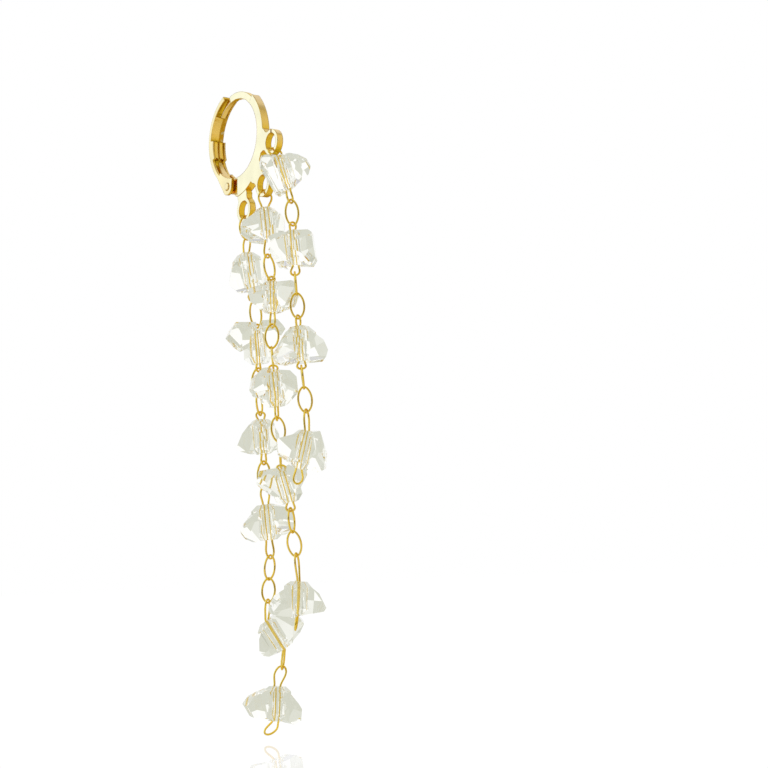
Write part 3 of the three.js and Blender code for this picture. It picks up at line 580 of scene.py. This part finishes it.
def rivet_piece(name, node, material):
    """The hinge's rivet: a shaft through the lever and the knuckle, with a low dome at each end."""
    low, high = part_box(node)
    middle = (Vector(low) + Vector(high)) / 2
    shaft = (high[0] - low[0]) / 2
    reach = (high[1] - low[1]) / 2 + RIVET_STANDS * MM
    head = RIVET_HEAD * MM
    rise = RIVET_RISE * MM
    half = [(shaft, 0), (shaft, reach), (head, reach)]
    for step in range(1, RIVET_STEPS + 1):
        angle = math.pi / 2 * step / RIVET_STEPS
        half.append((head * math.cos(angle), reach + rise * math.sin(angle)))
    profile = [(radius, -along) for radius, along in reversed(half[1:])] + half
    vertices = []
    for radius, along in profile:
        for side in range(RIVET_SIDES):
            angle = 2 * math.pi * side / RIVET_SIDES
            spoke = Vector((radius * math.cos(angle), along, radius * math.sin(angle)))
            vertices.append(middle + spoke)
    faces = []
    for row in range(len(profile) - 1):
        faces.extend(faces_between(row * RIVET_SIDES, (row + 1) * RIVET_SIDES, RIVET_SIDES))
    mesh = bpy.data.meshes.new(name)
    mesh.from_pydata(vertices, [], faces)
    work = bmesh.new()
    work.from_mesh(mesh)
    bmesh.ops.remove_doubles(work, verts=work.verts, dist=WELD_DISTANCE * MM)
    bmesh.ops.recalc_face_normals(work, faces=work.faces)
    work.to_mesh(mesh)
    work.free()
    shade_smooth(mesh)
    mesh.set_sharp_from_angle(angle=math.radians(RIVET_SHARP_ANGLE))
    return new_object(name, mesh, material)


# ------------------------------------------------------------------ wire links


def smoothstep(value, low, high):
    share = min(1, max(0, (value - low) / (high - low)))
    return share * share * (3 - 2 * share)


def tube_loop(mesh_data, centre_line, half_width, turn_at, steps):
    """Adds a closed round wire: two wires side by side that meet in an end at top and bottom."""
    vertices, faces = mesh_data
    points = []
    flats = []
    for step in range(steps):
        t = 2 * math.pi * step / steps
        along = (1 - math.cos(t)) / 2
        turn = math.radians(turn_at(along))
        across = Vector((math.cos(turn), math.sin(turn), 0))
        side = math.copysign(1, math.sin(t))
        points.append(centre_line(along) + across * side * half_width(along))
        flats.append(Vector((-math.sin(turn), math.cos(turn), 0)))
    start = len(vertices)
    for step in range(steps):
        tangent = (points[(step + 1) % steps] - points[step - 1]).normalized()
        flat = (flats[step] - tangent * flats[step].dot(tangent)).normalized()
        other = tangent.cross(flat)
        for corner in range(WIRE_SIDES):
            angle = 2 * math.pi * corner / WIRE_SIDES
            ray = flat * math.cos(angle) + other * math.sin(angle)
            vertices.append((points[step] + ray * WIRE / 2) * MM)
    for step in range(steps):
        this_ring = start + step * WIRE_SIDES
        next_ring = start + (step + 1) % steps * WIRE_SIDES
        faces.extend(faces_between(this_ring, next_ring, WIRE_SIDES))


def add_plain_link(mesh_data, row, top, bottom):
    def half_width(along):
        from_middle = abs(1 - 2 * along)
        return (row.get("width", LINK_WIDTH) - WIRE) / 2 * (1 - from_middle ** 2) ** LINK_END_POWER

    tube_loop(mesh_data, lambda along: top.lerp(bottom, along), half_width,
              lambda along: row["turn"], PLAIN_LINK_STEPS)


def add_bead_link(mesh_data, row, top, bottom):
    mouth_top, mouth_tip = crystal_mouths(row)
    lengths = [(mouth_top - top).length, (mouth_tip - mouth_top).length,
               (bottom - mouth_tip).length]
    top_share = lengths[0] / sum(lengths)
    tip_share = 1 - lengths[2] / sum(lengths)

    def centre_line(along):
        if along < top_share:
            return top.lerp(mouth_top, along / top_share)
        if along > tip_share:
            return mouth_tip.lerp(bottom, (along - tip_share) / (1 - tip_share))
        return mouth_top.lerp(mouth_tip, (along - top_share) / (tip_share - top_share))

    def loop(share, outer):
        full = (outer - WIRE) / 2
        arc = math.sqrt(1 - (1 - min(1, share / LOOP_ROUND_SHARE)) ** 2)
        blend = smoothstep(share, LOOP_ROUND_SHARE, 1)
        return full * arc * (1 - blend) + THREAD_SPACING / 2 * blend

    def half_width(along):
        if along < top_share:
            return loop(along / top_share, row["top"])
        if along > tip_share:
            return loop((1 - along) / (1 - tip_share), row["tip"])
        return THREAD_SPACING / 2

    tube_loop(mesh_data, centre_line, half_width,
              lambda along: row["turn"] + (row["turn_end"] - row["turn"]) * along,
              BEAD_LINK_STEPS)


def reach_past(row, neighbour):
    """How far a link's end goes past its joint with the neighbour."""
    if neighbour is None:
        return 0
    if "crystal" in row or "crystal" in neighbour:
        return (WIRE + LINK_GAP) / 2
    return (WIRE - STRETCH_OVERLAP) / 2


def link_ends(rows, ring):
    """Each row with the two ends of its link, as the CAD hooks them together."""
    x, y, z = ring
    joint = Vector((x, y, z - OPENING_RADIUS - RING_HOLE_RADIUS + WIRE / 2 + RING_GAP))
    ends = []
    for index, row in enumerate(rows):
        above = rows[index - 1] if index else None
        below = rows[index + 1] if index + 1 < len(rows) else None
        top = joint + Vector((0, 0, reach_past(row, above)))
        joint = Vector((row["x"], row["y"], row["z"]))
        bottom = joint - Vector((0, 0, reach_past(row, below)))
        ends.append((row, top, bottom, below))
    return ends


def wire_piece(name, node, mesh_data, material):
    vertices, faces = mesh_data
    mesh = bpy.data.meshes.new(name)
    mesh.from_pydata(vertices, [], faces)
    shade_smooth(mesh)
    place_piece(new_object(name, mesh, material), "earring", "wire_gold", node)


# ------------------------------------------------------------------ crystals


def crystal_frame(row):
    """The directions of a crystal's long axis, hole and thickness, and its centre."""
    face = math.radians(row["face"])
    across = Vector((math.cos(face), math.sin(face), 0))
    outward = Vector((across.y, -across.x, 0))
    lean = Matrix.Rotation(math.radians(row["lean"]), 3, outward)
    long = lean @ across
    hole = Matrix.Rotation(-math.radians(row["out"]), 3, long) @ (lean @ Vector((0, 0, 1)))
    return long, hole, hole.cross(long), Vector((row["cx"], row["cy"], row["cz"]))


def crystal_mouths(row):
    """The middles of a hole's two ends."""
    _, hole, _, centre = crystal_frame(row)
    return centre + hole * row["height"] / 2, centre - hole * row["height"] / 2


def cut_block(size, planes):
    """A convex block: a cube cut back by planes, each given by a point and an outward direction."""
    block = bmesh.new()
    bmesh.ops.create_cube(block, size=size)
    for point, outward in planes:
        everything = block.verts[:] + block.edges[:] + block.faces[:]
        cut = bmesh.ops.bisect_plane(block, geom=everything, plane_co=point, plane_no=outward,
                                     clear_outer=True, dist=CUT_TOLERANCE)
        rim = [part for part in cut["geom_cut"] if isinstance(part, bmesh.types.BMEdge)]
        if rim:
            bmesh.ops.edgeloop_fill(block, edges=rim)
    bmesh.ops.recalc_face_normals(block, faces=block.faces)
    return block


def end_planes(row, outline, rng):
    """Planes of one end of a crystal: walls along its outline, and broad facets to both sides."""
    half = row["depth"] / 2
    middle = sum((Vector(point) for point in outline), Vector((0, 0))) / len(outline)
    planes = []
    for index, start in enumerate(outline):
        end = outline[(index + 1) % len(outline)]
        edge = (Vector(end) - Vector(start)).normalized()
        out = Vector((-edge.y, edge.x))
        if out.dot(Vector(start) - middle) < 0:
            out = -out
        lean = math.radians(rng.uniform(-END_WALL_LEAN, END_WALL_LEAN))
        foot = Vector((start[0], 0, start[1]))
        wall = Vector((out.x * math.cos(lean), math.sin(lean), out.y * math.cos(lean)))
        planes.append((foot, wall))
        for side in (1, -1):
            if rng.random() < CROWN_SHARE:
                slope = math.radians(rng.uniform(*CROWN_SLOPES))
                rise = Vector((0, side * half * rng.uniform(*CROWN_FEET), 0))
                crown = Vector((out.x * math.sin(slope), side * math.cos(slope),
                                out.y * math.sin(slope)))
                planes.append((foot + rise, crown))
    for side in (1, -1):
        planes.append((Vector((middle.x, side * half * FLANK_DEPTH_SHARE, middle.y)),
                       Vector((rng.uniform(-FLANK_TILT, FLANK_TILT), side,
                               rng.uniform(-FLANK_TILT, FLANK_TILT)))))
    return planes


def core_planes(row, rng):
    """Planes of the block round the hole: upright sides, and a dome of facets at top and bottom."""
    half = row["height"] / 2
    planes = []
    for index in range(CORE_SIDES):
        turned = index + rng.uniform(-CORE_SIDE_SHIFT, CORE_SIDE_SHIFT)
        angle = 2 * math.pi * turned / CORE_SIDES
        y, x = math.cos(angle), math.sin(angle)
        radius = math.hypot(row["depth"] / 2 * y * CORE_DEPTH_SHARE, CORE_HALF_WIDTH * x)
        tilt = rng.uniform(-CORE_WALL_TILT, CORE_WALL_TILT)
        planes.append((Vector((radius * x, radius * y, 0)), Vector((x, y, tilt))))
        for end in (1, -1):
            slope = math.radians(rng.uniform(*DOME_SLOPES))
            foot = Vector((DOME_FOOT_SHARE * radius * x, DOME_FOOT_SHARE * radius * y,
                           end * half * DOME_HEIGHT_SHARE))
            planes.append((foot, Vector((math.cos(slope) * x, math.cos(slope) * y,
                                         end * math.sin(slope)))))
    for end in (1, -1):
        planes.append((Vector((0, 0, end * half)), Vector((0, 0, end))))
    return planes


def block_object(block, matrix):
    mesh = bpy.data.meshes.new("block")
    block.transform(matrix)
    block.to_mesh(mesh)
    block.free()
    piece = bpy.data.objects.new("block", mesh)
    bpy.context.scene.collection.objects.link(piece)
    return piece


def combined(base, others, operation):
    """base joined with or cut by the others, which are then gone."""
    for other in others:
        modifier = base.modifiers.new("boolean", "BOOLEAN")
        modifier.operation = operation
        modifier.solver = "EXACT"
        modifier.object = other
        graph = bpy.context.evaluated_depsgraph_get()
        mesh = bpy.data.meshes.new_from_object(base.evaluated_get(graph))
        base.modifiers.clear()
        base.data = mesh
        bpy.data.objects.remove(other)
    return base


def hole_drill(row):
    drill = bmesh.new()
    bmesh.ops.create_cone(drill, cap_ends=True, segments=HOLE_SIDES, radius1=HOLE_RADIUS,
                          radius2=HOLE_RADIUS, depth=DRILL_LENGTH * row["height"])
    return drill


def crystal_piece(name, row, outlines, seed, material):
    rng = random.Random(seed)
    long, hole, thick, centre = crystal_frame(row)
    axes = Matrix((long, thick, hole)).transposed().to_4x4()
    place = Matrix.Scale(MM, 4) @ Matrix.Translation(centre) @ axes
    size = UNCUT_SIZE * max(row["left"], row["right"])
    upright = Matrix.Rotation(math.radians(row["lean"]), 4, "Y")
    core = block_object(cut_block(size, core_planes(row, rng)), Matrix.Identity(4))
    left, right = (block_object(cut_block(size, end_planes(row, outline, rng)), upright)
                   for outline in outlines)
    stone = combined(core, [right, left], "UNION")
    stone = combined(stone, [block_object(hole_drill(row), Matrix.Identity(4))], "DIFFERENCE")
    mesh = stone.data
    bpy.data.objects.remove(stone)
    mesh.transform(place)
    mesh.name = name
    piece = new_object(name, mesh, material)
    place_piece(piece, "earring", "crystal", name.replace("quartz", "crystal"))


# ------------------------------------------------------------------ world and floor


def studio_walls(nodes, view, walls):
    """Soft patches of light all round, with cards in front of them, as a colour."""
    patches = nodes.add("ShaderNodeTexNoise", noise_dimensions="4D", Vector=view, W=WALL_PATTERN,
                        Scale=walls["scale"], Detail=0.0)
    colour = nodes.ramp(patches.outputs["Fac"], walls["tones"])
    for direction, inner, outer, tint in walls["cards"]:
        along = nodes.calculate("ShaderNodeVectorMath", "DOT_PRODUCT", view,
                                Vector(direction).normalized())
        reach = (math.cos(math.radians(outer)), math.cos(math.radians(inner)))
        near = nodes.spread(along, reach, interpolation_type="SMOOTHSTEP")
        colour = nodes.mix(near, colour, tint)
    return colour


def studio_world():
    """A white studio: the metal mirrors its cards and darker walls, the stones show its screens.
    It is plain white to the camera, and where the floor mirrors it."""
    world = bpy.data.worlds.new("studio")
    bpy.context.scene.world = world
    world.use_nodes = True
    nodes = Nodes(world.node_tree)
    view = nodes.add("ShaderNodeTexCoord").outputs["Generated"]
    light_path = nodes.add("ShaderNodeLightPath")
    satin = satin_reflection(nodes, light_path)
    mirrored = nodes.mix(satin, studio_walls(nodes, view, QUARTZ_WALLS),
                         studio_walls(nodes, view, GOLD_WALLS))
    early = nodes.calculate("ShaderNodeMath", "LESS_THAN", light_path.outputs["Ray Depth"],
                            WHITE_DEPTH)
    plain = nodes.calculate("ShaderNodeMath", "SUBTRACT", early, satin, use_clamp=True)
    background = nodes.add("ShaderNodeBackground", Color=nodes.mix(plain, mirrored, WHITE))
    nodes.add("ShaderNodeOutputWorld", Surface=background.outputs["Background"])


def make_floor():
    bpy.ops.mesh.primitive_plane_add(size=FLOOR_SIZE * MM, location=(0, 0, FLOOR_Z * MM))
    floor = bpy.context.object
    floor.name = "floor"
    floor.data.materials.append(floor_material())


def soft_light(name, place, target, width, power):
    """A square lamp that mirrors don't show."""
    data = bpy.data.lights.new(name, "AREA")
    data.shape = "SQUARE"
    data.size = width * MM
    data.energy = power
    light = bpy.data.objects.new(name, data)
    light.location = Vector(place) * MM
    away = (Vector(place) - Vector(target)) * MM
    light.rotation_mode = "QUATERNION"
    light.rotation_quaternion = away.to_track_quat("Z", "Y")
    light.visible_glossy = False
    bpy.context.scene.collection.objects.link(light)


# ------------------------------------------------------------------ the earring


def build_hoop():
    body_gold = gold_material("body_gold")
    lever_gold = gold_material("lever_gold")
    hoop = smooth_copy("hoop_body", "hoop_frame", body_gold)
    place_piece(hoop, "earring", "gold", "hoop_frame")
    lever = smooth_copy("hoop_catch_lever", "hoop_lever", lever_gold)
    place_piece(lever, "lever", "gold", "hoop_lever")
    rivet = rivet_piece("hinge_rivet", "hinge_pin", lever_gold)
    place_piece(rivet, "earring", "gold", "hinge_pin")


def build_strands():
    wire = gold_material("wire_gold")
    quartz = quartz_material()
    for strand, rows in STRANDS.items():
        stretch = ([], [])
        stretch_number = 0
        for row, top, bottom, below in link_ends(rows, RINGS[strand]):
            if "crystal" in row:
                number = f"{strand}_{row['crystal']}"
                mesh_data = ([], [])
                add_bead_link(mesh_data, row, top, bottom)
                wire_piece(f"wire_bead_{number}", f"bead_link_{number}", mesh_data, wire)
                outlines = ENDS[strand][row["crystal"]]
                draw = FACET_DRAWS[strand][row["crystal"] - 1]
                crystal_piece(f"quartz_{number}", row, outlines, draw, quartz)
                continue
            add_plain_link(stretch, row, top, bottom)
            if below is None or "crystal" in below:
                stretch_number += 1
                number = f"{strand}_{stretch_number}"
                wire_piece(f"wire_links_{number}", f"links_{number}", stretch, wire)
                stretch = ([], [])


make_camera()
studio_world()
make_floor()
soft_light("top_light", **TOP_LIGHT)
build_hoop()
build_strands()
bpy.context.scene.view_settings.view_transform = "Standard"
bpy.context.scene.cycles.max_bounces = LIGHT_BOUNCES
bpy.context.scene.cycles.transmission_bounces = LIGHT_BOUNCES
bpy.context.scene.cycles.glossy_bounces = LIGHT_BOUNCES
